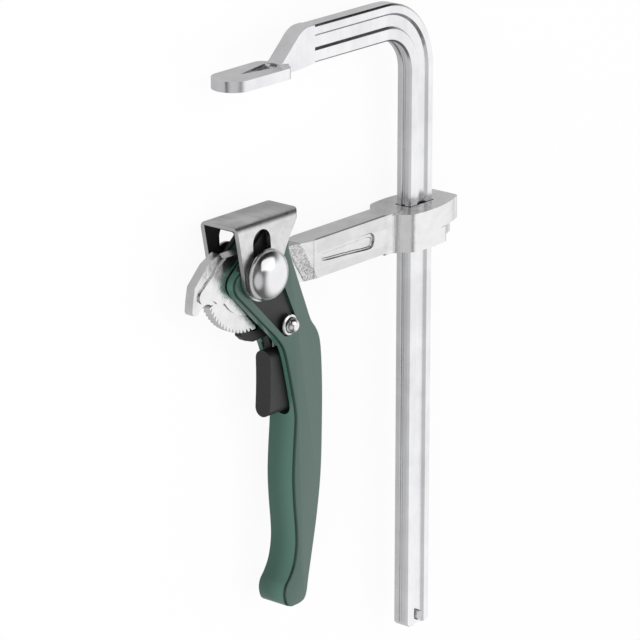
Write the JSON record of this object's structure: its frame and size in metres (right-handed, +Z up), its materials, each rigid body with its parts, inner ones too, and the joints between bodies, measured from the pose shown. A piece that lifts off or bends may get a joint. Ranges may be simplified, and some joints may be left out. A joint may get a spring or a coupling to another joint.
{
  "type": "bar clamp",
  "caption": "One-handed lever bar clamp: L-shaped bar with a forged jaw, a sliding arm with a toothed segment, and a cam lever that raises the pressure bracket.",
  "frame": {"origin": "middle of the footprint of the clamp lying on its side, on the level of the rivet head it lies on", "axes": "+X from the jaws' open side to the bar's back, +Y up the bar from its free end to the fixed jaw, +Z up from the side it lies on"},
  "size_m": [0.141, 0.242, 0.0276],
  "materials": {
    "zinc_bar": "bright zinc plate over drawn steel, faint lengthwise scratches",
    "zinc_arm": "bright zinc plate over a forging with rough patches",
    "zinc_sheet": "satin zinc-plated sheet steel",
    "pin_steel": "plain bright steel",
    "spring_steel": "dark spring wire",
    "black_steel": "blackened steel plate, satin",
    "green_paint": "green semi-gloss stove enamel on a casting",
    "black_plastic": "black moulded plastic, fine grain",
    "bright_chrome": "polished nickel-chrome dome"
  },
  "bodies": {
    "bar_group": {"bar": "zinc_bar", "stop_pin": "pin_steel"},
    "arm_group": {"sliding_arm": "zinc_arm", "pivot_sleeve": "pin_steel", "pivot_rivet": "bright_chrome", "pivot_washer_near": "pin_steel", "pivot_washer_far": "pin_steel"},
    "lever_group": {"lever_body": "green_paint", "cam_plate_near": "black_steel", "cam_plate_far": "black_steel", "pawl_pin": "bright_chrome", "pin_retainer": "bright_chrome"},
    "bracket_group": {"pressure_bracket": "zinc_sheet"},
    "trigger_group": {"pawl": "zinc_arm", "trigger_button": "black_plastic", "pawl_spring": "spring_steel"}
  },
  "joints": [
    {"name": "arm_slide", "type": "slide", "parent": "bar_group", "child": "arm_group", "axis": [0, 1, 0], "range_m": [-0.144, 0.045]},
    {"name": "lever_hinge", "type": "hinge", "parent": "arm_group", "child": "lever_group", "pos_m": [-0.0411, 0.0403, 0.0123], "axis": [0, 0, 1], "range_deg": [-40, 0]},
    {"name": "bracket_slide", "type": "slide", "parent": "arm_group", "child": "bracket_group", "axis": [0, 1, 0], "range_m": [-0.0091, 0.0001]},
    {"name": "trigger_hinge", "type": "hinge", "parent": "lever_group", "child": "trigger_group", "pos_m": [-0.0254, 0.0175, 0.0123], "axis": [0, 0, 1], "range_deg": [0, 9], "stiffness_Nm_per_rad": 0.08, "springref_deg": -20.05, "deforming": ["pawl_spring"]}
  ],
  "couplings": [
    {"joint": "bracket_slide", "follows": "lever_hinge", "m_per_rad": 0.012892}
  ]
}
